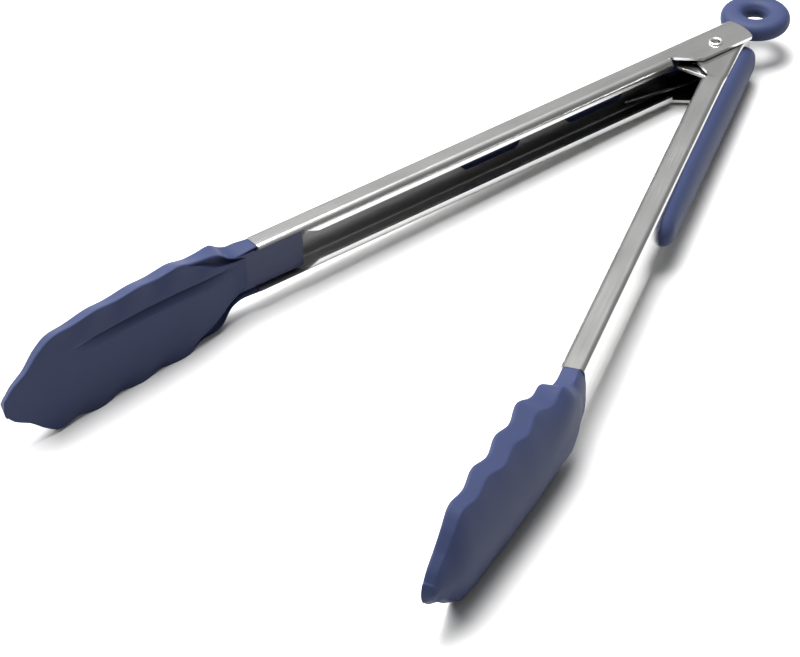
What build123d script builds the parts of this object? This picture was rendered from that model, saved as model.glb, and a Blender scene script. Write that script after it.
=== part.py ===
from build123d import *
import math
import os

# Spring loaded kitchen tongs, 12 inch size, lying on a side, in millimetres.
# The origin is the centre of the hinge rivet. +Z runs along the rivet, the heads point to -Y and
# the pull ring to +Y. The outer arm is on the -X side and the inner arm on the +X side, both open.
#
# Each arm has its own frame: u runs from the rivet towards the head, v is outward to the arm's
# back wall, and w is the height above the middle of the channel. u, v and w are used throughout.

half_opening = 16.54  # degrees between each open arm and the middle line

# Pressed steel arms
sheet = 0.9
channel_half = 8.0  # half the height of the channel, outside
back = 8.0  # v of the back wall's outside, at its crown
crown = 0.5  # how much the back wall falls towards its two edges
bend = 1.6  # outside radius of the bends between back and flanges
free_edge = 0.25  # v of the curled free edges
curl = 2.2  # outside radius of the curl along each free edge
lip = 0.9  # straight height of the sheet below each curl
mouth_half = channel_half - curl - lip
arm_end = 172.0  # u where the steel ends, at the head
lip_start = 17.0  # u where the curled edges begin
lip_cut = 151.5  # u from which the curls are trimmed back to let the tongue in
lip_cut_end = 157.0
cut_half = 7.1  # half the mouth where the curls are trimmed

tab_length = 5.0  # the tab pressed inward that keeps the head's tongue in
tab_gap = 0.2
tab_root = back - sheet
tab_top = 3.8
tab_half = 1.5

# Hinge ears
tail = -11.0  # u of the back wall's end
tail_bulge = -12.4  # u of the roundest place of the ears
ear_edge = -4.6  # v of the ears' free edge
ear_front = 9.2  # u where the ears' front edge starts to slant
ear_root = 16.0  # u where the slant meets the flange
ear_root_v = 1.9
ear_corner = 1.3
nested_half = 6.85  # half height of the inner arm between the outer arm's ears
joggle_start = 15.0
joggle_end = 20.0
ear_reach = 5.8  # how far the inner ears may reach towards the outer arm's back wall

# Rivet
rivet_bore = 1.25
rivet_radius = 1.7
rivet_hole = 1.75
rivet_head = 2.25
rivet_head_base = 8.05
rivet_top = 8.6

# Spring
wire = 1.2
coil_radius = 3.2
coil_bottom = -4.2
coil_rise = 1.25  # per turn
coil_turns = 4
leg_end = 31.0  # u of each leg's end
leg_offset = 0.6  # distance by which each straight leg misses the rivet's axis
leg_bend = 6.6  # distance from the axis at which a leg bends
leg_wall_gap = 0.05

# Lock slider
plate_bottom = 4.0
plate_thickness = 1.0
plate_front = -14.3
plate_half = 5.5
plate_shoulder = -7.0
neck_half = 3.0
neck_start = 1.5
plate_corner = 1.2
slide_travel = 9.5
slot_half = 2.0
ring_y = 24.0
loop_outer = 8.6
loop_inner = 5.6

# Pull ring
ring_tube = 3.55
ring_centreline = 7.2
hang_radius = 3.5
land_half = 1.2
land_outer = 5.0

# Grip pads
pad_start = -9.5
pad_end = 96.5
pad_half = 6.3
pad_narrow = 4.3  # distance from each end at which the round end meets the long sides
pad_end_taper = 1.0  # how much less than that the pad's half width is there
pad_length = pad_end - pad_start
pad_top = 11.4
key_first = 3.6  # u of the middle of the first key
key_pitch = 40.0
key_count = 3
key_length = 22.0
key_half = 2.3
key_inner = 6.5  # v of the keys' inner faces
key_gap = 0.05
key_overlap = 0.2  # how far the keys run into the pad, so that they are one solid

# Heads
tip = 263.2
tip_half = 3.3  # half width at the shoulder of the round tip
tip_shoulder = 262.0
throat = [(178.5, 7.7), (187.0, 12.3)]  # u and half width where the neck widens to the head
beak = [(250.0, 12.9), (252.5, 10.7), (255.0, 8.5), (258.5, 6.3), (tip_shoulder, tip_half)]
valley_first = 194.1  # u of the first scallop valley
valley_pitch = 14.7
valley_half = [13.6, 15.0, 15.1, 15.1]
bump_half = [16.2, 16.1, 16.6, 15.1]
band_depth = 3.0  # v from the rim to the widest line
band_slope = 1.8  # how much narrower the rim is than the widest line
# u, the v of the rim, the v of the crown of the back, and the half width before scalloping
head_stations = [
    (arm_end, 1.4, 8.2, 8.0),
    (184.0, -0.6, 8.9, 14.5),
    (203.0, -2.8, 8.2, 17.2),
    (220.0, -4.3, 5.9, 17.6),
    (238.0, -6.2, 2.8, 17.4),
    (252.0, -7.5, 0.0, 16.2),
    (tip, -8.3, -4.2, 15.5),
]
groove_start = 180.0
groove_end = 242.0
groove_half = 1.5
groove_depth = 1.4
groove_mouth = -13.8  # v well inward of every rim

# Head cores
tongue_start = 155.6
tongue_half = 6.2
tongue_face = 2.4
tongue_back = 6.4
blade_thickness = 3.2

os.makedirs("parts", exist_ok=True)

opening = math.radians(half_opening)


def arm_frame(side):
    """The frame of the outer arm (side -1) or the inner arm (side 1): x is u, y is v, z is w."""
    return Plane(
        origin=(0, 0, 0),
        x_dir=(side * math.sin(opening), -math.cos(opening), 0),
        z_dir=(0, 0, side),
    )


def across(frame, u):
    """The plane across an arm at u: its x is v and its y is w."""
    return Plane(origin=frame.from_local_coords((u, 0, 0)), x_dir=frame.y_dir, z_dir=frame.x_dir)


def behind(frame, v):
    """The plane parallel to the back wall at v, facing outward: its x is u."""
    return Plane(origin=frame.from_local_coords((0, v, 0)), x_dir=frame.x_dir, z_dir=frame.y_dir)


def finish(part, name):
    part.label = name
    export_step(part, "parts/" + name + ".step")


# ---------------------------------------------------------------------------------------------
# Arms: one pressing each, a channel with a crowned back, curled free edges and two hinge ears
# ---------------------------------------------------------------------------------------------


def channel_outline(frame, u, half, edge, edge_radius, inset):
    """The outline of the channel at u, brought in by inset: outside at 0, inside at the sheet."""
    with BuildSketch(across(frame, u)) as outline:
        with BuildLine():
            ThreePointArc((back - crown, -half), (back, 0), (back - crown, half))
            Polyline((back - crown, half), (edge, half), (edge, -half), (back - crown, -half))
        make_face()
        fillet(outline.vertices().group_by(Axis.X)[-1], bend)
        if edge_radius:
            fillet(outline.vertices().group_by(Axis.X)[0], edge_radius)
        if inset:
            offset(amount=-inset)
    return outline.sketch


def lipped_channel(frame, start):
    """The long part of the channel, from start to the head, with both free edges curled in."""
    length = arm_end - start
    with BuildPart() as channel:
        extrude(channel_outline(frame, start, channel_half, free_edge, curl, 0), amount=length)
        hollow = channel_outline(frame, start, channel_half, free_edge, curl, sheet)
        extrude(hollow, amount=length, mode=Mode.SUBTRACT)
        with BuildSketch(behind(frame, free_edge)):
            with Locations(((start + arm_end) / 2, 0)):
                Rectangle(length, 2 * mouth_half)
        extrude(amount=sheet, both=True, mode=Mode.SUBTRACT)
        with BuildSketch(behind(frame, free_edge)):
            with BuildLine():
                Polyline(
                    (lip_cut, mouth_half),
                    (lip_cut_end, cut_half),
                    (arm_end, cut_half),
                    (arm_end, -cut_half),
                    (lip_cut_end, -cut_half),
                    (lip_cut, -mouth_half),
                    close=True,
                )
            make_face()
        extrude(amount=curl, both=True, mode=Mode.SUBTRACT)
    return channel.part


def ear_stop():
    """Where the inner ears' rear edge runs, so that it lies along the outer arm's back wall."""
    swing = 2 * opening
    at_tail = -(ear_reach + tail_bulge * math.sin(swing)) / math.cos(swing)
    at_edge = -(ear_reach + ear_edge * math.cos(swing)) / math.sin(swing)
    return (tail_bulge, at_tail), (at_edge, ear_edge)


def ear_outline(frame, nested, end):
    """The side view of the hinge end, from the tail to end, where the curled channel begins."""
    top = back + sheet
    with BuildSketch(frame) as outline:
        with BuildLine():
            if nested:
                rear, corner = ear_stop()
            else:
                rear, corner = (tail_bulge + sheet / 2, ear_edge / 2), (tail, ear_edge)
            ThreePointArc(rear, (tail_bulge, back / 2), (tail, top))
            Polyline(
                (tail, top),
                (end, top),
                (end, ear_root_v),
                (ear_root, ear_root_v),
                (ear_front, ear_edge),
                corner,
                rear,
            )
        make_face()
        low = outline.vertices().group_by(Axis.Y)[0]
        fillet(low, ear_corner)
    return outline.sketch


def ears(frame, half, nested, end):
    """The hinge end of an arm: a deep channel without curls, cut to the ears' outline."""
    deep = ear_edge - 3 * sheet
    start = tail_bulge - sheet
    straight = joggle_start if nested else end
    with BuildPart() as hinge_end:
        extrude(channel_outline(frame, start, half, deep, 0, 0), amount=straight - start)
        if nested:
            wide = channel_outline(frame, end, channel_half, deep, 0, 0)
            loft([channel_outline(frame, straight, half, deep, 0, 0), wide])
    with BuildPart() as hollow:
        inside = channel_outline(frame, start, half, deep, 0, sheet)
        extrude(inside, amount=straight - start)
        if nested:
            wide = channel_outline(frame, end, channel_half, deep, 0, sheet)
            loft([channel_outline(frame, straight, half, deep, 0, sheet), wide])
    with BuildPart() as cut:
        add(hinge_end.part)
        add(hollow.part, mode=Mode.SUBTRACT)
        extrude(ear_outline(frame, nested, end), amount=channel_half, both=True, mode=Mode.INTERSECT)
        with BuildSketch(frame):
            Circle(rivet_hole)
        extrude(amount=channel_half, both=True, mode=Mode.SUBTRACT)
    return cut.part


def wall_blank(frame):
    """The back wall under a grip pad, slots cut out, which the pad is moulded against."""
    with BuildPart() as wall:
        extrude(channel_outline(frame, pad_start, channel_half, free_edge, 0, 0), amount=pad_length)
        with BuildSketch(behind(frame, back)):
            with Locations(*key_places()):
                SlotOverall(key_length, 2 * key_half)
        extrude(amount=back, both=True, mode=Mode.SUBTRACT)
    return wall.part


def key_places():
    return [(key_first + index * key_pitch, 0) for index in range(key_count)]


def arm(side, half, nested, start):
    frame = arm_frame(side)
    with BuildPart() as pressing:
        add(lipped_channel(frame, start))
        add(ears(frame, half, nested, start))
        # Slots in the back wall for the grip pad's keys
        with BuildSketch(behind(frame, back)):
            with Locations(*key_places()):
                SlotOverall(key_length, 2 * key_half)
        extrude(amount=back - key_inner + sheet, both=True, mode=Mode.SUBTRACT)
        # A small tab pressed inward from the back wall, which keeps the head's tongue in
        with BuildSketch(frame):
            with BuildLine():
                Polyline(
                    (tongue_start - tab_length, tab_root),
                    (tongue_start - tab_gap, tab_top),
                    (tongue_start - tab_gap, tab_top + sheet),
                    (tongue_start - tab_length / 2, tab_root + sheet / 2),
                    close=True,
                )
            make_face()
        extrude(amount=tab_half, both=True)
    return pressing.part


outer_arm = arm(-1, channel_half, False, lip_start)
finish(outer_arm, "outer_arm")

inner_arm = arm(1, nested_half, True, joggle_end)
finish(inner_arm, "inner_arm")

# ---------------------------------------------------------------------------------------------
# Pivot rivet: a hollow tube flared over the outer ears at both ends
# ---------------------------------------------------------------------------------------------

with BuildPart() as pivot_rivet:
    with BuildSketch(Plane.XZ):
        with BuildLine():
            Polyline(
                (rivet_bore, -rivet_top),
                (rivet_head - sheet / 4, -rivet_top),
                (rivet_head, -rivet_head_base - sheet / 4),
                (rivet_head, -rivet_head_base),
                (rivet_radius, -rivet_head_base),
                (rivet_radius, rivet_head_base),
                (rivet_head, rivet_head_base),
                (rivet_head, rivet_head_base + sheet / 4),
                (rivet_head - sheet / 4, rivet_top),
                (rivet_bore, rivet_top),
                close=True,
            )
        make_face()
    revolve(axis=Axis.Z)
finish(pivot_rivet.part, "pivot_rivet")

# ---------------------------------------------------------------------------------------------
# Torsion spring: a coil round the rivet, with a straight leg bent out to each arm's back wall
# ---------------------------------------------------------------------------------------------


def inner_wall(w):
    """v of the back wall's inside at height w."""
    return back - sheet - crown * (w / channel_half) ** 2


def leg_places(w):
    """The coil end, the bend and the end of the inner arm's leg at height w, in plan."""
    end_v = inner_wall(w) - wire / 2 - leg_wall_gap
    end = arm_frame(1).from_local_coords((leg_end, end_v, 0))
    reach = math.hypot(end.X, end.Y)
    heading = math.atan2(end.Y, end.X) - math.asin(leg_offset / reach)
    along = math.sqrt(leg_bend**2 - leg_offset**2)
    corner_angle = heading + math.atan2(leg_offset, along)
    corner = (leg_bend * math.cos(corner_angle), leg_bend * math.sin(corner_angle))
    coil_angle = corner_angle + math.acos(coil_radius / leg_bend)
    return coil_angle, corner, (end.X, end.Y)


def spring_leg(mirror_x, height):
    """The wire of one leg, from the coil's end to the back wall."""
    coil_angle, corner, end = leg_places(height)
    start = (coil_radius * math.cos(coil_angle), coil_radius * math.sin(coil_angle))
    points = [(mirror_x * x, y, height) for x, y in (start, corner, end)]
    with BuildPart() as leg:
        with BuildLine() as path:
            FilletPolyline(*points, radius=wire)
        with BuildSketch(Plane(origin=points[0], z_dir=path.line % 0)):
            Circle(wire / 2)
        sweep()
    return leg.part


coil_angle = leg_places(coil_bottom)[0]
turned = math.degrees(math.pi - coil_angle)
# The coil runs clockwise as it rises, from the outer arm's leg to the inner arm's leg.
coil_sweep = coil_turns - (2 * (turned % 360) - 180) / 360 % 1
coil_top = coil_bottom + coil_sweep * coil_rise

with BuildPart() as torsion_spring:
    start_x = (math.cos(math.radians(turned)), math.sin(math.radians(turned)), 0)
    with BuildLine(Plane(origin=(0, 0, coil_bottom), x_dir=start_x, z_dir=(0, 0, 1))) as coil_path:
        Helix(coil_rise, coil_sweep * coil_rise, coil_radius, lefthand=True)
    with BuildSketch(Plane(origin=coil_path.line @ 0, z_dir=coil_path.line % 0)):
        Circle(wire / 2)
    sweep(is_frenet=True)
    add(spring_leg(-1, coil_bottom))
    add(spring_leg(1, coil_top))
finish(torsion_spring.part, "torsion_spring")

# ---------------------------------------------------------------------------------------------
# Lock slider: a flat plate with a slot round the rivet, and a loop that the ring is moulded on
# ---------------------------------------------------------------------------------------------

with BuildPart() as lock_slider:
    with BuildSketch(Plane.XY.offset(plate_bottom)):
        with BuildLine():
            Polyline(
                (-plate_half, plate_front),
                (plate_half, plate_front),
                (plate_half, plate_shoulder),
                (neck_half, neck_start),
                (neck_half, ring_y),
                (-neck_half, ring_y),
                (-neck_half, neck_start),
                (-plate_half, plate_shoulder),
                close=True,
            )
        make_face()
        with Locations((0, ring_y)):
            Circle(loop_outer)
            Circle(loop_inner, mode=Mode.SUBTRACT)
        with Locations((0, -slide_travel / 2)):
            SlotCenterToCenter(slide_travel, 2 * slot_half, rotation=90, mode=Mode.SUBTRACT)
    extrude(amount=plate_thickness)
    fillet(lock_slider.edges().filter_by(Axis.Z).group_by(Axis.Y)[0], plate_corner)
finish(lock_slider.part, "lock_slider")

# ---------------------------------------------------------------------------------------------
# Pull ring: a soft ring moulded round the loop, with a firm land inside its hole
# ---------------------------------------------------------------------------------------------

ring_height = plate_bottom + plate_thickness / 2

with BuildPart() as pull_ring:
    with BuildSketch(Plane.XZ.offset(-ring_y)) as ring_section:
        with Locations((ring_centreline, ring_height)):
            Circle(ring_tube)
        with Locations(((hang_radius + land_outer) / 2, ring_height)):
            Rectangle(land_outer - hang_radius, 2 * land_half)
    revolve(axis=Axis((0, ring_y, 0), (0, 0, 1)))
    add(lock_slider.part, mode=Mode.SUBTRACT)
finish(pull_ring.part, "pull_ring")

# ---------------------------------------------------------------------------------------------
# Grip pads: a domed strip on each back wall, held by three keys through the slots
# ---------------------------------------------------------------------------------------------


def grip_pad(side):
    frame = arm_frame(side)
    seat = back - crown * (pad_half / channel_half) ** 2
    rise = pad_top - back
    nose = 2 * rise
    end_half = pad_narrow - pad_end_taper
    with BuildPart() as pad:
        # Side view: a flat top that falls in a round nose to the wall at both ends
        with BuildSketch(frame):
            with BuildLine():
                Spline((pad_start, seat), (pad_start + nose, pad_top), tangents=((0, 1), (1, 0)))
                Line((pad_start + nose, pad_top), (pad_end - nose, pad_top))
                Spline((pad_end - nose, pad_top), (pad_end, seat), tangents=((1, 0), (0, -1)))
                Line((pad_end, seat), (pad_start, seat))
            make_face()
        extrude(amount=pad_half, both=True)
        # Outline seen from behind: widest in the middle, narrower and round at both ends
        with BuildSketch(behind(frame, seat)):
            with BuildLine():
                half_outline = [
                    (pad_start, 0),
                    (pad_start + pad_narrow, end_half),
                    (pad_start + pad_length / 3, pad_half),
                    (pad_end - pad_length / 3, pad_half),
                    (pad_end - pad_narrow, end_half),
                    (pad_end, 0),
                ]
                Spline(*half_outline, tangents=((0, 1), (0, -1)))
                Spline(*[(u, -w) for u, w in half_outline], tangents=((0, -1), (0, 1)))
            make_face()
        extrude(amount=pad_top, mode=Mode.INTERSECT)
        # Section: a dome over the back wall's crown
        with BuildSketch(across(frame, pad_start)):
            with BuildLine():
                ThreePointArc((seat, -pad_half), (pad_top, 0), (seat, pad_half))
                ThreePointArc((seat, pad_half), (back, 0), (seat, -pad_half))
            make_face()
        extrude(amount=pad_length, mode=Mode.INTERSECT)
        with BuildSketch(behind(frame, key_inner)):
            with Locations(*key_places()):
                SlotOverall(key_length - 2 * key_gap, 2 * (key_half - key_gap))
        extrude(amount=back - key_inner + key_overlap)
        add(wall_blank(frame), mode=Mode.SUBTRACT)
    return pad.part


for pad_side, pad_name in ((-1, "outer_grip_pad"), (1, "inner_grip_pad")):
    finish(grip_pad(pad_side), pad_name)

# ---------------------------------------------------------------------------------------------
# Heads: a hard core with a tongue inside the channel, and a soft scalloped skin over its blade
# ---------------------------------------------------------------------------------------------


def head_section(frame, u, rim, top, half):
    """The section of a head before its outline is cut: flat face, slanted band, round back."""
    wide = rim + min(band_depth, (top - rim) / 2)
    with BuildSketch(across(frame, u)) as section:
        with BuildLine():
            Polyline((wide, -half), (rim, band_slope - half), (rim, half - band_slope), (wide, half))
            ThreePointArc((wide, half), (top, 0), (wide, -half))
        make_face()
    return section.sketch


def head_outline(frame):
    """The scalloped outline of a head, seen along v."""
    points = [(arm_end, channel_half)] + throat
    for index, (low, high) in enumerate(zip(valley_half, bump_half)):
        valley = valley_first + index * valley_pitch
        points += [(valley, low), (valley + valley_pitch / 2, high)]
    points += beak
    with BuildSketch(behind(frame, 0)) as outline:
        with BuildLine():
            shape = Spline(*points)
            ThreePointArc(shape @ 1, (tip, 0), (tip_shoulder, -tip_half))
            Line((arm_end, channel_half), (arm_end, -channel_half))
            Spline(*[(u, -w) for u, w in points])
        make_face()
    return outline.sketch


def head_core(side):
    """The hard core: a tongue in the channel and a blade along the middle of the head."""
    frame = arm_frame(side)
    middle = [(u, (rim + top) / 2) for u, rim, top, half in head_stations[1:-1]]
    blade_start, blade_end = middle[0], middle[-1]
    half_blade = blade_thickness / 2
    with BuildPart() as core:
        with BuildSketch(frame):
            with BuildLine():
                Spline(*[(u, v + half_blade) for u, v in middle])
                Spline(*[(u, v - half_blade) for u, v in middle])
                Line(
                    (blade_end[0], blade_end[1] - half_blade),
                    (blade_end[0], blade_end[1] + half_blade),
                )
                Polyline(
                    (blade_start[0], blade_start[1] + half_blade),
                    (arm_end, tongue_back),
                    (tongue_start, tongue_back),
                    (tongue_start, tongue_face),
                    (arm_end, tongue_face),
                    (blade_start[0], blade_start[1] - half_blade),
                )
            make_face()
        extrude(amount=tongue_half, both=True)
        tongue_end = core.edges().group_by(Axis(frame.origin, frame.x_dir))[0].sort_by(Axis.Z)
        fillet([tongue_end[0], tongue_end[-1]], sheet)
    return core.part


def head_skin(side, core):
    """The soft skin: a scoop-shaped head with scalloped edges and a groove along its face."""
    frame = arm_frame(side)
    with BuildPart() as skin:
        loft([head_section(frame, *station) for station in head_stations])
        extrude(head_outline(frame), amount=2 * back, both=True, mode=Mode.INTERSECT)
        # The groove's floor keeps its depth below the rims, which slope as the stations do
        near, far = head_stations[1], head_stations[4]
        floor_fall = (far[1] - near[1]) / (far[0] - near[0]) * (groove_end - groove_start)
        with BuildSketch(frame):
            with BuildLine():
                Polyline(
                    (groove_start, groove_depth),
                    (groove_end, groove_depth + floor_fall),
                    (groove_end, groove_mouth),
                    (groove_start, groove_mouth),
                    close=True,
                )
            make_face()
        extrude(amount=groove_half, both=True, mode=Mode.SUBTRACT)
        add(core, mode=Mode.SUBTRACT)
    return skin.part


for head_side, head_name in ((-1, "outer"), (1, "inner")):
    head_core_part = head_core(head_side)
    finish(head_core_part, head_name + "_head_core")
    finish(head_skin(head_side, head_core_part), head_name + "_head_skin")
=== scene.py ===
import math

import bmesh
import bpy
import numpy as np
from mathutils import Matrix, Vector


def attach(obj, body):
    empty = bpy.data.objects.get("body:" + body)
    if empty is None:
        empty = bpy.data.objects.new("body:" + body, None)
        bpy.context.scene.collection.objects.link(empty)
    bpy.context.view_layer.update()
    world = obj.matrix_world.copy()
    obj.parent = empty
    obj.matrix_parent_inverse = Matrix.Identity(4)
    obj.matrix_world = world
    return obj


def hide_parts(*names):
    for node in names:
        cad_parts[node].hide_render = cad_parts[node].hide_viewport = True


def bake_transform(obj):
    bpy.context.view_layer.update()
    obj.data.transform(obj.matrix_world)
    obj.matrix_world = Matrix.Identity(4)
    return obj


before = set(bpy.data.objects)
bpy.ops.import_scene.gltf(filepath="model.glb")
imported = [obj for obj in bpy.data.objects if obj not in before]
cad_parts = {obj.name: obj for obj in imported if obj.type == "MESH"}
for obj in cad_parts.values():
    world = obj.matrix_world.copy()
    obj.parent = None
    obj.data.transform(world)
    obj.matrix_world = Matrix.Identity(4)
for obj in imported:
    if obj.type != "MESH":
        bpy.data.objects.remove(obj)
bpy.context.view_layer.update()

# Locking kitchen tongs with silicone heads, lying on a side. Sizes are in millimetres, and mm turns
# them into metres. Each arm has its own directions: u runs from the hinge rivet to the head, v goes
# outward to the arm's back wall, and w goes up. side is -1 on the outer arm and 1 on the inner arm.

# Arms
# Each arm is one pressing of 0.9 mm stainless sheet: a channel with a crowned back, curled free
# edges and two hinge ears. It is brushed along its length, and its cut edges are lightly tumbled.
mm = 0.001
half_opening = math.radians(16.54)
edge_round = 0.16
smooth_angle = 35  # degrees up to which neighbouring faces look like one curve
arm_length = 172
channel_middle = 3.5  # v halfway up the flanges
inside_half = 7.3  # a little more than half the channel's inner height
inside_flank = 5.3  # a little less than the distance of the inner arm's ears from the middle
curl_top = 1.3  # v past which nothing belongs to the curled lips' edges


def arm_axes(side):
    """The directions of u, v and w on one arm."""
    along = Vector((side * math.sin(half_opening), -math.cos(half_opening), 0))
    outward = Vector((side * math.cos(half_opening), math.sin(half_opening), 0))
    return along, outward, Vector((0, 0, 1))


def arm_point(side, u, v, w):
    """The place in the frame, in metres, of a point given in millimetres on one arm."""
    along, outward, up = arm_axes(side)
    return (along * u + outward * v + up * w) * mm


class Signal:
    """A number in a shader. Arithmetic on it adds the Math nodes."""

    def __init__(self, finish, socket):
        self.finish, self.socket = finish, socket

    def math(self, operation, *others):
        values = dict(enumerate((self,) + others))
        return self.finish.node("ShaderNodeMath", {"operation": operation}, values)

    def __add__(self, other):
        return self.math("ADD", other)

    def __mul__(self, other):
        return self.math("MULTIPLY", other)

    __radd__ = __add__
    __rmul__ = __mul__


class Finish:
    """A material that is being made, with its Principled shader."""

    def __init__(self, name, **fixed):
        self.material = bpy.data.materials.new(name)
        self.material.use_nodes = True
        self.tree = self.material.node_tree
        self.shader = self.tree.nodes["Principled BSDF"]
        for socket, value in fixed.items():
            self.shader.inputs[socket.replace("_", " ")].default_value = value

    def put(self, value, socket):
        """Sets a socket to a number, or links it to another node's output."""
        if isinstance(value, Signal):
            self.tree.links.new(value.socket, socket)
        else:
            socket.default_value = value

    def node(self, kind, settings, values, output=0):
        """Adds a node: its settings first, then its sockets' values or links."""
        made = self.tree.nodes.new(kind)
        for name, value in settings.items():
            setattr(made, name, value)
        for name, value in values.items():
            self.put(value, made.inputs[name])
        return Signal(self, made.outputs[output])

    def place(self, rotation=(0, 0, 0), size=(1, 1, 1)):
        """Object coordinates, turned and divided by the size of the pattern in metres."""
        where = self.node("ShaderNodeTexCoord", {}, {}, "Object")
        values = {"Vector": where, "Rotation": rotation, "Scale": size}
        return self.node("ShaderNodeMapping", {"vector_type": "TEXTURE"}, values)

    def noise(self, where, detail=2.0):
        values = {"Vector": where, "Scale": 1.0, "Detail": detail}
        return self.node("ShaderNodeTexNoise", {}, values, "Fac")

    def mix(self, factor, first, second):
        """A colour between two colours."""
        values = {0: factor, 6: first + (1,), 7: second + (1,)}
        return self.node("ShaderNodeMix", {"data_type": "RGBA"}, values, 2)

    def bump(self, height, distance, strength=1.0):
        values = {"Height": height, "Distance": distance, "Strength": strength}
        self.put(self.node("ShaderNodeBump", {}, values), self.shader.inputs["Normal"])

    def surface(self, **varying):
        for socket, value in varying.items():
            self.put(value, self.shader.inputs[socket.replace("_", " ")])
        return self.material


def brushed_steel(name, turn):
    """Satin stainless with fine lines along a direction turned by an angle from Y."""
    steel = Finish(name, Metallic=1.0)
    lines = steel.noise(steel.place((0, 0, turn), (0.14 * mm, 26 * mm, 0.14 * mm)), 3.0)
    broad = steel.noise(steel.place((0, 0, turn), (1.1 * mm, 70 * mm, 1.1 * mm)), 1.0)
    smears = steel.noise(steel.place((0, 0, turn), (9 * mm, 22 * mm, 9 * mm)), 3.0)
    tone = lines * 0.45 + broad * 0.3 + smears * 0.25
    steel.bump(lines, 0.004 * mm, 0.5)
    return steel.surface(
        Base_Color=steel.mix(tone, (0.54, 0.54, 0.535), (0.7, 0.7, 0.69)),
        Roughness=lines * 0.12 + smears * 0.08 + 0.14,
    )


def inside_steel_with_painted_shade(name, turn, reach):
    """Unpolished inside of the sheet with painted shade, darkest at the hinge, where hardly any
    light gets in.
    """
    steel = Finish(name, Metallic=1.0)
    away = steel.place((0, 0, turn), (reach * mm, -reach * mm, reach * mm))
    distance = steel.node("ShaderNodeSeparateXYZ", {}, {"Vector": away}, 1)
    lines = steel.noise(steel.place((0, 0, turn), (0.2 * mm, 30 * mm, 0.2 * mm)), 3.0)
    steel.bump(lines, 0.004 * mm, 0.5)
    # Painted shade: the colour runs from near black at the hinge to plain steel further out.
    tone = distance * 0.8 + lines * 0.12
    return steel.surface(
        Base_Color=steel.mix(tone, (0.016, 0.016, 0.016), (0.62, 0.62, 0.62)),
        Roughness=lines * 0.15 + 0.3,
    )


def only(piece):
    """Selects one object and nothing else."""
    bpy.ops.object.select_all(action="DESELECT")
    piece.select_set(True)
    bpy.context.view_layer.objects.active = piece


def apply_modifiers(piece):
    only(piece)
    for modifier in list(piece.modifiers):
        bpy.ops.object.modifier_apply(modifier=modifier.name)


def rounded_copy(node, name, material, width):
    """A copy of a rigid part with its triangles joined, its edges rounded and its curves smooth."""
    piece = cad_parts[node].copy()
    piece.data = piece.data.copy()
    for key in list(piece.keys()):
        del piece[key]
    piece.name = name
    piece.parent = None
    bpy.context.scene.collection.objects.link(piece)
    only(piece)
    bpy.ops.object.mode_set(mode="EDIT")
    bpy.ops.mesh.select_all(action="SELECT")
    bpy.ops.mesh.customdata_custom_splitnormals_clear()
    bpy.ops.mesh.remove_doubles(threshold=0.002 * mm)
    bpy.ops.mesh.dissolve_limited(angle_limit=math.radians(0.4))
    bpy.ops.object.mode_set(mode="OBJECT")
    rounding = piece.modifiers.new("edges", "BEVEL")
    rounding.width = width * mm
    rounding.segments = 2
    rounding.angle_limit = math.radians(40)
    rounding.harden_normals = False
    apply_modifiers(piece)
    bpy.ops.object.shade_smooth_by_angle(angle=math.radians(smooth_angle))
    shading = piece.modifiers.new("flat faces", "WEIGHTED_NORMAL")
    shading.mode = "FACE_AREA"
    shading.keep_sharp = True
    apply_modifiers(piece)
    piece.data.materials.clear()
    piece.data.materials.append(material)
    return piece


def is_inside(face, side):
    """Whether a face of an arm looks into its channel, apart from the edges of the curled lips."""
    outward = arm_axes(side)[1]
    v, w = face.center.dot(outward) / mm, face.center.z / mm
    facing = face.normal.dot(outward) * (channel_middle - v) - face.normal.z * w
    flank = abs(face.normal.z) > 0.9 and abs(w) > inside_flank
    return facing > 0 and abs(w) < inside_half and (flank or v > curl_top)


arm_bodies = {-1: "outer_side", 1: "inner_side"}
arm_nodes = {-1: "outer", 1: "inner"}
for side, prefix in arm_nodes.items():
    steel = brushed_steel(prefix + "_arm_steel", side * half_opening)
    arm = rounded_copy(prefix + "_arm", prefix + "_arm_pressing", steel, edge_round)
    # The faces looking into the channel get the steel with painted shade, darkest at the hinge.
    arm.data.materials.append(inside_steel_with_painted_shade(prefix + "_arm_inside_painted_shade", side * half_opening, arm_length))
    for face in arm.data.polygons:
        face.material_index = int(is_inside(face, side))
    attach(arm, arm_bodies[side])
    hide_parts(prefix + "_arm")

# Hinge rivet
# A stainless tube through all four ears, with both ends rolled over the outer arm's ears. It stays
# open from end to end, and its rolled ends are the brightest metal on the tongs.
rivet_bore = 1.25
rivet_radius = 1.7
rivet_head = 2.25
rivet_top = 8.6
rivet_seat = 8.05

rivet_steel = Finish("rolled_rivet_steel", Metallic=1.0)
turning = rivet_steel.noise(rivet_steel.place(size=(1.2 * mm, 1.2 * mm, 0.06 * mm)), 2.0)
rivet_steel.bump(turning, 0.001 * mm, 0.3)
rivet_steel.surface(
    Base_Color=rivet_steel.mix(turning, (0.7, 0.7, 0.7), (0.85, 0.85, 0.84)),
    Roughness=turning * 0.1 + 0.24,
)


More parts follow.
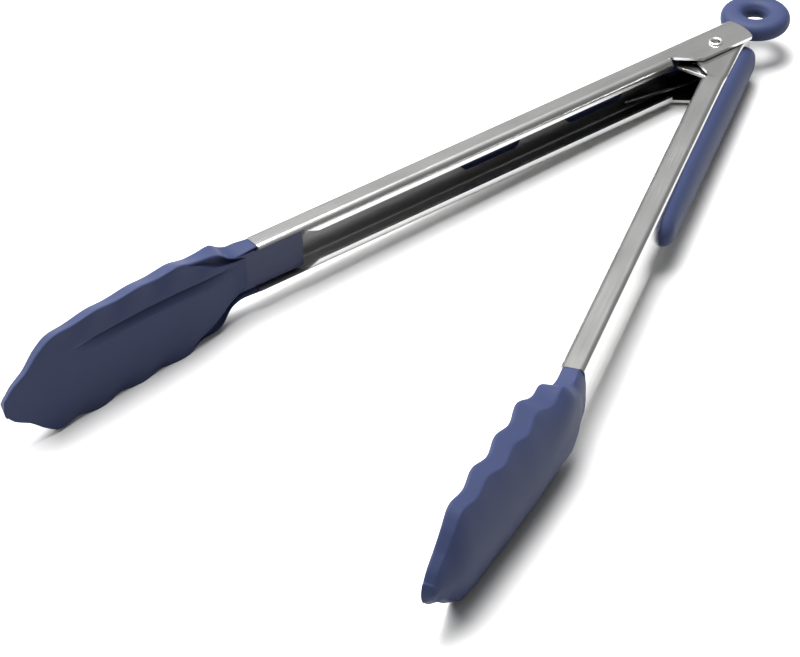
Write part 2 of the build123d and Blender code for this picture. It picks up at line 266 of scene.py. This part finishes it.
def turned(name, profile, centre, segments=64):
    """A ring of revolution about Z: its closed profile of (radius, height), extruded in steps."""
    bpy.ops.object.select_all(action="DESELECT")
    radius, height = profile[0]
    bpy.ops.mesh.primitive_circle_add(
        vertices=segments, radius=radius * mm, location=(centre[0], centre[1], height * mm)
    )
    piece = bpy.context.object
    piece.name = name
    bpy.ops.object.transform_apply(location=True, rotation=True, scale=True)
    bpy.ops.object.mode_set(mode="EDIT")
    for new_radius, new_height in profile[1:] + profile[:1]:
        bpy.ops.mesh.extrude_edges_move()
        bpy.ops.transform.translate(value=(0, 0, (new_height - height) * mm))
        ratio = new_radius / radius
        middle = (centre[0], centre[1], new_height * mm)
        bpy.ops.transform.resize(value=(ratio, ratio, 1), center_override=middle)
        radius, height = new_radius, new_height
    bpy.ops.mesh.select_all(action="SELECT")
    bpy.ops.mesh.remove_doubles(threshold=0.001 * mm)
    bpy.ops.mesh.normals_make_consistent(inside=False)
    bpy.ops.object.mode_set(mode="OBJECT")
    return piece


def arc(radius, height, reach, start, stop, steps):
    """Points of an arc in a turned profile, about (radius, height), angles in degrees."""
    turns = [math.radians(start + (stop - start) * step / steps) for step in range(steps + 1)]
    return [(radius + reach * math.cos(turn), height + reach * math.sin(turn)) for turn in turns]


roll_radius = (rivet_head - rivet_bore) / 2
roll_base = rivet_top - roll_radius
rivet_profile = (
    arc(rivet_bore + roll_radius, roll_base, roll_radius, 180, -20, 10)
    + [(rivet_head - 0.06, rivet_seat), (rivet_radius, rivet_seat - 0.03)]
    + [(rivet_radius, 0.03 - rivet_seat), (rivet_head - 0.06, -rivet_seat)]
    + arc(rivet_bore + roll_radius, -roll_base, roll_radius, 20, -180, 10)
)
rivet = turned("open_hinge_rivet", rivet_profile, (0, 0))
only(rivet)
bpy.ops.object.shade_smooth_by_angle(angle=math.radians(40))
rivet.data.materials.append(rivet_steel.material)
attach(rivet, "pivot")
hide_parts("pivot_rivet")

# Torsion spring
# A coil of 1.2 mm spring wire round the rivet. One leg lies on the inside of each arm's back wall
# and pushes it open.
wall = 8.0  # v of the back wall's outside, at its crown
sheet = 0.9
crown = 0.5  # how much the back wall falls towards its two edges
channel_half = 8.0
wire = 1.2
coil_radius = 3.2
coil_bottom = -4.2
coil_rise = 1.25
coil_turns = 4
leg_end = 31.0
leg_bend = 6.6
leg_offset = 0.6
leg_wall_gap = 0.05
bend_reach = 1.3  # how far from its corner a leg's bend starts and ends
coil_steps = 24

spring_steel = Finish("drawn_spring_wire", Metallic=1.0)
drawn = spring_steel.noise(spring_steel.place(size=(9 * mm, 9 * mm, 9 * mm)), 2.0)
spring_steel.surface(
    Base_Color=spring_steel.mix(drawn, (0.16, 0.16, 0.165), (0.24, 0.24, 0.24)),
    Roughness=drawn * 0.1 + 0.22,
)


def crowned_wall(w):
    """v of the outside of an arm's back wall."""
    return wall - crown * (w / channel_half) ** 2


def leg_plan(height):
    """The coil end's angle, the leg's bend and the leg's end, for the inner arm's leg."""
    end = arm_point(1, leg_end, crowned_wall(height) - sheet - wire / 2 - leg_wall_gap, 0) / mm
    reach = math.hypot(end.x, end.y)
    heading = math.atan2(end.y, end.x) - math.asin(leg_offset / reach)
    corner_turn = heading + math.atan2(leg_offset, math.sqrt(leg_bend**2 - leg_offset**2))
    corner = (leg_bend * math.cos(corner_turn), leg_bend * math.sin(corner_turn))
    return corner_turn + math.acos(coil_radius / leg_bend), corner, (end.x, end.y)


def rounded_leg(start, corner, end, height, steps=6):
    """The leg from the coil's end to the wall, its bend rounded."""
    a, b, c = Vector(start), Vector(corner), Vector(end)
    before = b + (a - b).normalized() * bend_reach
    after = b + (c - b).normalized() * bend_reach
    bend = []
    for step in range(steps + 1):
        t = step / steps
        bend.append(before * (1 - t) ** 2 + b * 2 * t * (1 - t) + after * t**2)
    return [(p.x, p.y, height) for p in [*bend, (b + c) / 2, c]]


low_turn, low_corner, low_end = leg_plan(coil_bottom)
start_turn = math.pi - low_turn
turns = coil_turns - (2 * (math.degrees(start_turn) % 360) - 180) / 360 % 1
coil_top = coil_bottom + turns * coil_rise
top_turn, top_corner, top_end = leg_plan(coil_top)

coil = []
for step in range(1, round(turns * coil_steps)):
    part = step / (turns * coil_steps)
    turn = start_turn - part * turns * 2 * math.pi
    height = coil_bottom + part * turns * coil_rise
    coil.append((coil_radius * math.cos(turn), coil_radius * math.sin(turn), height))
first = (coil_radius * math.cos(start_turn), coil_radius * math.sin(start_turn))
last = (coil_radius * math.cos(top_turn), coil_radius * math.sin(top_turn))
low_corner, low_end = (-low_corner[0], low_corner[1]), (-low_end[0], low_end[1])
lower_leg = rounded_leg(first, low_corner, low_end, coil_bottom)
upper_leg = rounded_leg(last, top_corner, top_end, coil_top)
route = lower_leg[::-1] + [(*first, coil_bottom)] + coil + [(*last, coil_top)] + upper_leg

wire_line = bpy.data.curves.new("torsion_spring_wire", "CURVE")
wire_line.dimensions = "3D"
spline = wire_line.splines.new("POLY")
spline.points.add(len(route) - 1)
for point, (x, y, z) in zip(spline.points, route):
    point.co = (x * mm, y * mm, z * mm, 1)
wire_line.bevel_depth = wire / 2 * mm
wire_line.bevel_resolution = 4
wire_line.use_fill_caps = True
spring = bpy.data.objects.new("torsion_spring_wire", wire_line)
bpy.context.scene.collection.objects.link(spring)
only(spring)
bpy.ops.object.convert(target="MESH")
spring = bpy.context.object
bpy.ops.object.shade_smooth_by_angle(angle=math.radians(50))
spring.data.materials.clear()
spring.data.materials.append(spring_steel.material)
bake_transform(spring)
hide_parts("torsion_spring")

# Lock slider
# A flat stainless plate that slides on the rivet by its long slot. Its broad front locks the closed
# arms, and its rear end is a loop that the pull ring is moulded on.
plate_round = 0.14

slider_steel = brushed_steel("lock_slider_steel", 0.0)
slider = rounded_copy("lock_slider", "lock_slider_plate", slider_steel, plate_round)
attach(slider, "lock")
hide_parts("lock_slider")

# Pull ring
# A soft silicone ring moulded over the slider's loop. It locks and unlocks the tongs, and they hang
# from its hole, which keeps a narrow firm land halfway up.
ring_centre = (0, 24 * mm)
ring_height = 4.5
ring_line = 7.2
ring_tube = 3.55
ring_half_height = 3.05
ring_squareness = 0.84  # 1 is an oval section, less is squarer
ring_wrap = 158  # degrees round the section at which it meets the land
ring_steps = 44
land_radius = 3.5
land_half = 1.2
land_chamfer = 0.2


def navy_silicone(name):
    """Matte moulded silicone: fine grain, a slight cloudiness and a soft sheen."""
    rubber = Finish(name, Sheen_Weight=0.03, Sheen_Roughness=0.4, IOR=1.2)
    rubber.shader.inputs["Sheen Tint"].default_value = (0.55, 0.62, 0.9, 1)
    grain = rubber.noise(rubber.place(size=(0.35 * mm,) * 3), 3.0)
    cloud = rubber.noise(rubber.place(size=(11 * mm,) * 3), 3.0)
    rubber.bump(grain, 0.012 * mm, 0.35)
    tone = cloud * 0.75 + grain * 0.25
    return rubber.surface(
        Base_Color=rubber.mix(tone, (0.023, 0.031, 0.073), (0.031, 0.04, 0.09)),
        Roughness=grain * 0.14 + cloud * 0.08 + 0.42,
    )


ring_profile = []
for radius, height in arc(0, 0, 1, -ring_wrap, ring_wrap, ring_steps):
    out = math.copysign(abs(radius) ** ring_squareness, radius) * ring_tube
    rise = math.copysign(abs(height) ** ring_squareness, height) * ring_half_height
    ring_profile.append((ring_line + out, ring_height + rise))
land_rise = land_half - land_chamfer
ring_profile += [(land_radius, ring_height + land_rise), (land_radius, ring_height - land_rise)]
ring = turned("silicone_pull_ring", ring_profile, ring_centre, 96)
only(ring)
bpy.ops.object.shade_smooth_by_angle(angle=math.radians(50))
ring.data.materials.append(navy_silicone("pull_ring_silicone"))
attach(ring, "lock")
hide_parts("pull_ring")

# Grip pads
# A domed silicone strip on the back of each arm. Three long keys are moulded through slots in the
# steel and show inside the channel, which is what holds the pad on.
pad_start = -9.5
pad_end = 96.5
pad_half = 6.3
pad_rise = 3.4
pad_waist = 4.6  # half the width where the round ends start
round_end = 7.5
sloped_end = 6.0
widening = 30.0  # distance from each end over which the pad gets its full width
dome_squareness = 3.0
dome_fullness = 0.62
key_first = 3.6
key_pitch = 40.0
key_count = 3
key_length = 22.0
key_width = 4.6
key_inner = 6.5
key_depth = 1.7
key_gap = 0.05


def skin_through(name, rings, material):
    """A closed skin through a row of rings of points, capped at both ends."""
    shell = bmesh.new()
    rows = [[shell.verts.new(point) for point in ring] for ring in rings]
    count = len(rows[0])
    for near, far in zip(rows, rows[1:]):
        for k in range(count):
            shell.faces.new((near[k], near[(k + 1) % count], far[(k + 1) % count], far[k]))
    for row in (rows[0], rows[-1]):
        hub = shell.verts.new(sum((vertex.co for vertex in row), Vector()) / count)
        for k in range(count):
            shell.faces.new((row[k], row[(k + 1) % count], hub))
    bmesh.ops.remove_doubles(shell, verts=shell.verts, dist=0.003 * mm)
    bmesh.ops.recalc_face_normals(shell, faces=shell.faces)
    mesh = bpy.data.meshes.new(name)
    shell.to_mesh(mesh)
    shell.free()
    piece = bpy.data.objects.new(name, mesh)
    bpy.context.scene.collection.objects.link(piece)
    piece.data.materials.append(material)
    return piece


def pad_rings(side, stations=120, points=48):
    """Rings across a grip pad: a flat base on the crowned wall and a D-shaped dome."""
    middle, half_length = (pad_start + pad_end) / 2, (pad_end - pad_start) / 2
    rings = []
    for step in range(stations + 1):
        part = -math.cos(math.pi * step / stations)
        u = middle + half_length * part
        to_end = half_length * (1 - abs(part))
        taper = math.sqrt(max(1 - max(1 - to_end / round_end, 0) ** 2, 0))
        half = (pad_waist + (pad_half - pad_waist) * min(to_end / widening, 1) ** 0.6) * taper
        rise = pad_rise * math.sqrt(max(1 - max(1 - to_end / sloped_end, 0) ** 2.4, 0))
        ring = []
        for k in range(points):
            turn = math.pi * k / (points - 1)
            w = half * math.cos(turn)
            dome = rise * (1 - abs(math.cos(turn)) ** dome_squareness) ** dome_fullness
            ring.append(arm_point(side, u, crowned_wall(w) + dome, w))
        for k in range(1, 9):
            w = half * (2 * k / 9 - 1)
            ring.append(arm_point(side, u, crowned_wall(w), w))
        rings.append(ring)
    return rings


def pad_key(side, u):
    """One key: a round-ended block from inside the channel into the pad."""
    bpy.ops.object.select_all(action="DESELECT")
    bpy.ops.mesh.primitive_cube_add(size=1)
    key = bpy.context.object
    length, width = key_length - 2 * key_gap, key_width - 2 * key_gap
    key.scale = (length * mm, key_depth * mm, width * mm)
    bpy.ops.object.transform_apply(location=False, rotation=False, scale=True)
    bpy.ops.object.mode_set(mode="EDIT")
    bpy.ops.mesh.select_all(action="DESELECT")
    bpy.ops.object.mode_set(mode="OBJECT")
    for edge in key.data.edges:
        a, b = (key.data.vertices[index].co for index in edge.vertices)
        edge.select = abs(a.y - b.y) > 1 * mm
    bpy.ops.object.mode_set(mode="EDIT")
    bpy.ops.mesh.bevel(offset=(width / 2 - 0.01) * mm, segments=10)
    bpy.ops.object.mode_set(mode="OBJECT")
    along, outward, up = arm_axes(side)
    turn = Matrix((along, outward, up)).transposed()
    shift = arm_point(side, u, key_inner + key_depth / 2, 0)
    key.data.transform(Matrix.Translation(shift) @ turn.to_4x4())
    return key


def merge(pieces, name):
    """Joins pieces into the first one and turns their faces outward."""
    bpy.ops.object.select_all(action="DESELECT")
    for piece in pieces:
        piece.select_set(True)
    bpy.context.view_layer.objects.active = pieces[0]
    bpy.ops.object.join()
    pieces[0].name = name
    bpy.ops.object.mode_set(mode="EDIT")
    bpy.ops.mesh.select_all(action="SELECT")
    bpy.ops.mesh.normals_make_consistent(inside=False)
    bpy.ops.object.mode_set(mode="OBJECT")
    return pieces[0]


for side, prefix in arm_nodes.items():
    pad_silicone = navy_silicone(prefix + "_grip_silicone")
    name = prefix + "_silicone_grip"
    shell = skin_through(name, pad_rings(side), pad_silicone)
    keys = [pad_key(side, key_first + index * key_pitch) for index in range(key_count)]
    for key in keys:
        key.data.materials.append(pad_silicone)
    pad = merge([shell] + keys, name)
    bpy.ops.object.shade_smooth_by_angle(angle=math.radians(45))
    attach(pad, arm_bodies[side])
    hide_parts(prefix + "_grip_pad")

# Head cores
# The hard nylon blade inside each head. Its flat tongue shows where it is pushed into the end of
# the channel, behind the curled edges, where the arm's tab keeps it in.
core_round = 0.25

for side, prefix in arm_nodes.items():
    nylon = Finish(prefix + "_core_nylon", IOR=1.3)
    flow = nylon.noise(nylon.place((0, 0, side * half_opening), (3 * mm, 14 * mm, 3 * mm)), 2.0)
    pores = nylon.noise(nylon.place(size=(0.25 * mm,) * 3), 2.0)
    nylon.bump(pores, 0.01 * mm, 0.3)
    nylon.surface(
        Base_Color=nylon.mix(flow, (0.016, 0.022, 0.058), (0.024, 0.031, 0.076)),
        Roughness=pores * 0.15 + flow * 0.08 + 0.3,
    )
    core = rounded_copy(prefix + "_head_core", prefix + "_nylon_core", nylon.material, core_round)
    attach(core, arm_bodies[side])
    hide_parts(prefix + "_head_core")

# Head skins
# Silicone moulded over each core: a shallow scoop whose flat face has a long lens-shaped groove,
# with a drafted band round its scalloped edge and a smooth domed back. It swells from a neck that
# is flush with the channel, and hollows beside the neck keep the rim thin.
neck = 172.0
tip = 263.2
tip_shoulder = 262.0
tip_half = 3.3
scallop_first = 194.1
scallop_pitch = 14.7
rim_round = 0.5
neck_end = 198
neck_lift = 1.6  # the face's rise in the neck, which fades to nothing over neck_lip at the rim
neck_lip = 1.4
lift_start = 0.55  # share of the half width inside which a scallop doesn't lift the face
hollow_bow = 0.6
hollow_fall = 0.3
settling = (180, 204)  # where the back turns from the channel's shape into a plain dome
neck_squareness = 4.5
squareness_loss = 2.5
band_share = 0.72  # most of the back's height that the band may take
shoulder_share = 0.6
lean_start = 245
tip_lean = 0.3
neck_shrink = 0.985
mean_half = [
    (172, 8.0), (178, 7.6), (182, 8.8), (186, 11.3), (191, 13.3), (196, 14.5), (203, 15.6),
    (217, 15.6), (232, 15.8), (240, 15.5), (246.5, 14.6), (250, 12.9), (252.5, 10.7), (255, 8.5),
    (257.5, 7.0), (260, 5.4), (262, 3.3),
]
scallop_depth = [(178, 0), (186, 0.6), (247, 0.5), (251, 0)]
rim_height = [
    (172, 1.4), (180, 0.2), (187, -1.2), (203, -2.8), (218, -4.1), (232.5, -5.7), (247, -7.1),
    (256, -7.8), (263.2, -8.3),
]
scallop_lift = [(180, 0), (186, 0.9), (215, 0.9), (240, 0.6), (250, 0.3), (255, 0)]
band_height = [
    (172, 4.6), (178, 5.2), (184, 5.8), (190, 6.1), (196, 6.0), (207, 5.9), (238, 4.4), (254, 3.3),
    (263.2, 2.6),
]
band_inset = [
    (172, 0), (178, -0.8), (184, -0.6), (190, 1.4), (196, 2.0), (207, 2.1), (238, 1.6), (254, 1.2),
    (263.2, 0.9),
]
crown_height = [
    (172, 8.0), (177, 8.5), (183, 9.2), (190, 9.1), (197, 8.5), (210, 6.8), (223.5, 4.5),
    (244, 0.9), (252, -0.8), (263.2, -4.9),
]
land_width = [(172, 4.5), (180, 6.0), (187, 8.5), (193, 11.5), (199, 14.5)]
hollow_depth = [(172, 0.2), (174, 1.2), (179, 2.6), (187, 2.4), (199, 0)]
groove_line = [(179, 3.2), (190, 5.0), (205, 6.3), (239, 6.8)]
groove_half = 1.7
groove_deepest = 0.55
groove_depth = 1.5


def smooth_through(points):
    """A smooth function through points that doesn't swing past them."""
    xs, ys = np.array(points, float).T
    slopes = np.diff(ys) / np.diff(xs)
    tangents = np.concatenate(([slopes[0]], (slopes[1:] + slopes[:-1]) / 2, [slopes[-1]]))
    for k in range(len(slopes)):
        if slopes[k] == 0:
            tangents[k] = tangents[k + 1] = 0
        else:
            for end in (k, k + 1):
                limit = 3 * abs(slopes[k])
                if tangents[end] * slopes[k] < 0:
                    tangents[end] = 0
                tangents[end] = np.clip(tangents[end], -limit, limit)

    def value(x):
        x = min(max(x, xs[0]), xs[-1])
        k = min(int(np.searchsorted(xs, x, side="right")) - 1, len(xs) - 2)
        width = xs[k + 1] - xs[k]
        t = (x - xs[k]) / width
        return float(
            ys[k] * (1 + 2 * t) * (1 - t) ** 2
            + ys[k + 1] * t * t * (3 - 2 * t)
            + width * (tangents[k] * t * (1 - t) ** 2 - tangents[k + 1] * t * t * (1 - t))
        )

    return value


def smooth_step(x, low, high):
    t = min(max((x - low) / (high - low), 0), 1)
    return t * t * (3 - 2 * t)


mean_half_at, scallop_at = smooth_through(mean_half), smooth_through(scallop_depth)
rim_at, lift_at = smooth_through(rim_height), smooth_through(scallop_lift)
band_at, crown_at = smooth_through(band_height), smooth_through(crown_height)
land_at, groove_at = smooth_through(land_width), smooth_through(groove_line)
inset_at, hollow_at = smooth_through(band_inset), smooth_through(hollow_depth)


def scallop_wave(u):
    return math.cos(2 * math.pi * (u - scallop_first) / scallop_pitch)


def half_width(u):
    """Half the head's width at its rim."""
    if u > tip_shoulder:
        return tip_half * math.sqrt(max(1 - ((u - tip_shoulder) / (tip - tip_shoulder)) ** 2, 0))
    return mean_half_at(u) - scallop_at(u) * scallop_wave(u)


def plain_face(u, w, half):
    """v of the head's inner face without its groove, at the distance w from the middle line."""
    lift = lift_at(u) * (1 + scallop_wave(u)) / 2
    neck_share = 1 - smooth_step(u, neck, neck_end)
    land = land_at(u)
    v = rim_at(u) + neck_lift * neck_share * (1 - smooth_step(w, half - neck_lip, half))
    v += lift * smooth_step(w, lift_start * half, half)
    if w > land:
        part = min((w - land) / max(half - land, 0.1), 1)
        v += hollow_at(u) * (hollow_bow * math.sin(math.pi * part) ** 0.6 + hollow_fall * part)
    return v


def face_points(u, half, corner):
    """Points (v, w) across the face from its low to its high rim, close together in the groove."""
    reach = half - corner
    slot_half = min(groove_half, reach / 3)
    middle = min(groove_at(u), reach - 2 * slot_half)
    along = (u - groove_line[0][0]) / (groove_line[-1][0] - groove_line[0][0])
    depth = groove_depth * math.sin(math.pi * along) ** 0.7 if 0 < along < 1 else 0
    points = [(plain_face(u, abs(w), half), w) for w in np.linspace(-reach, middle - slot_half, 40)]
    for part in np.linspace(-1, 1, 15)[1:-1]:
        w = middle + slot_half * part
        if part > groove_deepest:
            sink = depth * (1 - ((part - groove_deepest) / (1 - groove_deepest)) ** 2)
        else:
            sink = depth * (1 - ((groove_deepest - part) / (1 + groove_deepest)) ** 0.6)
        points.append((plain_face(u, abs(w), half) + sink, w))
    points += [(plain_face(u, abs(w), half), w) for w in np.linspace(middle + slot_half, reach, 24)]
    return points


def high_side(u, half, corner):
    """Points (v, w) from the rounded rim up the drafted band and over the back to its crown."""
    rim, crown_v = plain_face(u, half, half), crown_at(u)
    points = []
    for step in range(1, 6):
        turn = math.pi / 2 * step / 5
        points.append((rim + corner * (1 - math.cos(turn)), half - corner * (1 - math.sin(turn))))
    settled = smooth_step(u, *settling)
    height = min(band_at(u), (crown_v - rim) * band_share)
    shoulder = max(half - inset_at(u), shoulder_share * half)
    for part in np.linspace(0, 1, 8)[1:]:
        points.append((rim + corner + (height - corner) * part, half + (shoulder - half) * part))
    power = neck_squareness - squareness_loss * settled
    for part in np.linspace(0, 1, 26)[1:]:
        w = shoulder * math.cos(math.pi / 2 * part)
        points.append((crown_v - (crown_v - rim - height) * (w / shoulder) ** power, w))
    return points


def head_rings(side):
    """Rings across a head from its neck to its tip."""
    stations = [neck + 0.02, neck + 0.25]
    stations += list(np.arange(neck + 0.75, tip_shoulder, 0.5))
    turns = np.linspace(0, math.pi / 2, 14)
    stations += [tip_shoulder + (tip - tip_shoulder) * math.sin(turn) for turn in turns]
    rings = []
    for index, u in enumerate(stations):
        half = max(half_width(u), 0.02)
        corner = min(rim_round, half / 3)
        high = high_side(u, half, corner)
        section = face_points(u, half, corner) + high + [(v, -w) for v, w in high[-2::-1]]
        rim = plain_face(u, 0, half)
        shrink = neck_shrink if index == 0 else 1
        lean = tip_lean * smooth_step(u, lean_start, tip)
        ring = []
        for v, w in section:
            back = max(v - rim, 0) * lean
            ring.append(arm_point(side, u - back, v, -side * w * shrink))
        rings.append(ring)
    return rings


for side, prefix in arm_nodes.items():
    head_silicone = navy_silicone(prefix + "_head_silicone")
    head = skin_through(prefix + "_silicone_head", head_rings(side), head_silicone)
    only(head)
    bpy.ops.object.shade_smooth_by_angle(angle=math.radians(50))
    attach(head, arm_bodies[side])
    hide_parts(prefix + "_head_skin")

# Floor and light
# A white sheet under the tongs, touching the rivet's end and the heads' lower bumps, a soft box
# overhead, and a sky that is brightest high on the left and dark to the right.
rivet_low = Vector((0, 0, -rivet_top * mm))
head_low = Vector((0, -235 * mm, -16.05 * mm))
sky_strength = 9.0
sky_light = ((0.0, 0.023), (0.42, 0.03), (0.68, 0.041), (0.83, 0.055), (0.93, 0.7))
slope = math.atan2(rivet_low.z - head_low.z, rivet_low.y - head_low.y)

bpy.ops.object.select_all(action="DESELECT")
bpy.ops.mesh.primitive_plane_add(size=6.0)
floor = bpy.context.object
floor.name = "white_floor"
floor.data.transform(Matrix.Translation(head_low) @ Matrix.Rotation(slope, 4, "X"))
paper = Finish("white_paper", Roughness=0.6)
fibres = paper.noise(paper.place(size=(30 * mm,) * 3), 3.0)
floor.data.materials.append(
    paper.surface(Base_Color=paper.mix(fibres, (0.56, 0.56, 0.56), (0.6, 0.6, 0.6)))
)

world = bpy.data.worlds.new("studio")
bpy.context.scene.world = world
world.use_nodes = True
sky = world.node_tree
background = sky.nodes["Background"]
direction = sky.nodes.new("ShaderNodeTexCoord")
toward = sky.nodes.new("ShaderNodeVectorMath")
toward.operation = "DOT_PRODUCT"
toward.inputs[1].default_value = (-0.5, 0.0, 0.866)
ramp = sky.nodes.new("ShaderNodeValToRGB")
sky.links.new(direction.outputs["Generated"], toward.inputs[0])
sky.links.new(toward.outputs["Value"], ramp.inputs[0])
sky.links.new(ramp.outputs[0], background.inputs[0])
stops = ramp.color_ramp.elements
for place, light in sky_light:
    stop = stops[0] if place == 0 else stops.new(place)
    stop.color = (light, light, light, 1)
stops.remove(stops[-1])
background.inputs[1].default_value = sky_strength


softbox_place = Vector((-0.2, 0.0, 1.2))
softbox_aim = Vector((0, -0.12, 0))
softbox_light = bpy.data.lights.new("overhead_softbox", "AREA")
softbox_light.shape = "RECTANGLE"
softbox_light.size, softbox_light.size_y = 0.8, 0.8
softbox_light.energy = 33
softbox = bpy.data.objects.new("overhead_softbox", softbox_light)
bpy.context.scene.collection.objects.link(softbox)
softbox.location = softbox_place
softbox.rotation_euler = (softbox_aim - softbox_place).to_track_quat("-Z", "Y").to_euler()

# Camera
# A long lens from the front right, a little above, so that both arms show their upper flanges.
lens = 154.435
azimuth = math.radians(35.4241)
elevation = math.radians(35.9203)
roll = math.radians(-0.9353)
distance = 0.93565
target = Vector((-1.39 * mm, -165.55 * mm, 0))

back = Vector((
    math.sin(azimuth) * math.cos(elevation),
    -math.cos(azimuth) * math.cos(elevation),
    math.sin(elevation),
))
level = (-back).cross(Vector((0, 0, 1))).normalized()
upright = level.cross(-back)
right = level * math.cos(roll) + upright * math.sin(roll)
up = upright * math.cos(roll) - level * math.sin(roll)
eye = bpy.data.cameras.new("camera")
eye.lens = lens
eye.clip_end = 20
camera = bpy.data.objects.new("camera", eye)
bpy.context.scene.collection.objects.link(camera)
camera.matrix_world = Matrix.Translation(target + back * distance) @ Matrix(
    (right, up, back)
).transposed().to_4x4()
bpy.context.scene.camera = camera
bpy.context.scene.view_settings.view_transform = "Standard"
